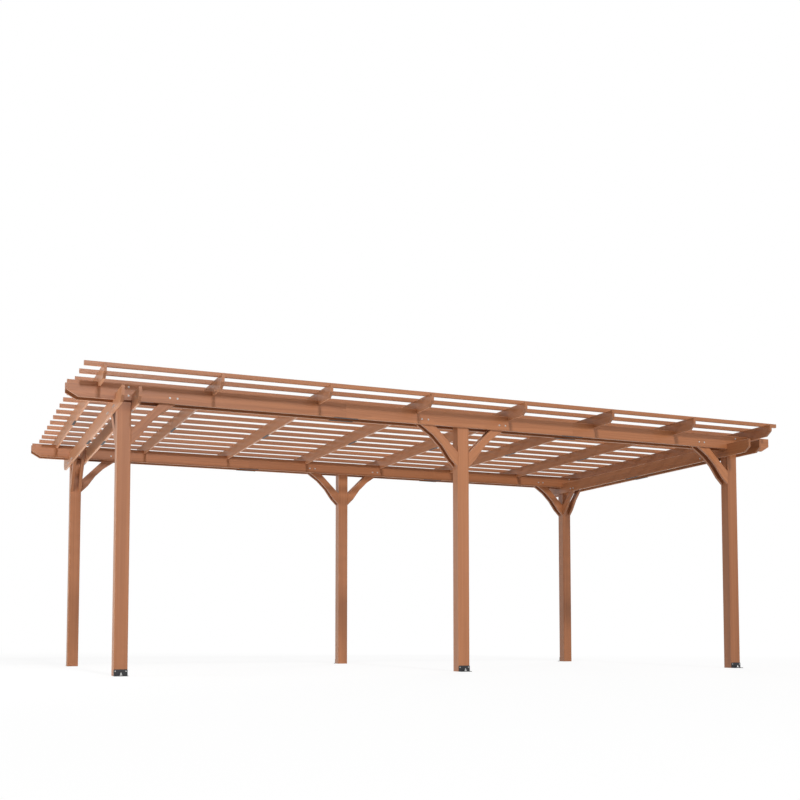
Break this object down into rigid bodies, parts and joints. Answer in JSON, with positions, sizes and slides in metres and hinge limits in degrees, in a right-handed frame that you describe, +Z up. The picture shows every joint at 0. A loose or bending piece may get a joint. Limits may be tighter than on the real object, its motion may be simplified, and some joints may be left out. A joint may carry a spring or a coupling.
{
  "type": "freestanding wooden pergola",
  "caption": "Freestanding cedar pergola: posts in two rows clasped by paired beams, notched rafters and slats above, arched knee braces and steel foot angles.",
  "frame": {"origin": "ground level under the centre of the structure", "axes": "+X along the long side, the front row of posts towards -Y, +Z up"},
  "size_m": [6.346, 3.628, 2.23],
  "materials": {
    "cedar_post": "stained cedar, satin",
    "cedar_board": "stained cedar, satin",
    "black_steel": "black powder coat",
    "grey_steel": "dark grey coated steel"
  },
  "bodies": {
    "root": {"braces_front_left": "cedar_board", "braces_front_middle": "cedar_board", "braces_front_right": "cedar_board", "braces_rear_left": "cedar_board", "braces_rear_middle": "cedar_board", "braces_rear_right": "cedar_board", "foot_angle_front_left": "black_steel", "foot_angle_front_middle": "black_steel", "foot_angle_front_right": "black_steel", "foot_angle_rear_left": "black_steel", "foot_angle_rear_middle": "black_steel", "foot_angle_rear_right": "black_steel", "front_beam": "cedar_board", "joint_strips": "grey_steel", "left_end_beam": "cedar_board", "post_front_left": "cedar_post", "post_front_middle": "cedar_post", "post_front_right": "cedar_post", "post_rear_left": "cedar_post", "post_rear_middle": "cedar_post", "post_rear_right": "cedar_post", "rafter_1": "cedar_board", "rafter_2": "cedar_board", "rafter_3": "cedar_board", "rafter_4": "cedar_board", "rafter_5": "cedar_board", "rafter_6": "cedar_board", "rafter_7": "cedar_board", "rafter_8": "cedar_board", "rear_beam": "cedar_board", "right_end_beam": "cedar_board", "slat_01": "cedar_board", "slat_02": "cedar_board", "slat_03": "cedar_board", "slat_04": "cedar_board", "slat_05": "cedar_board", "slat_06": "cedar_board", "slat_07": "cedar_board", "slat_08": "cedar_board", "slat_09": "cedar_board", "slat_10": "cedar_board", "slat_11": "cedar_board", "slat_12": "cedar_board", "slat_13": "cedar_board", "slat_14": "cedar_board"}
  },
  "joints": []
}
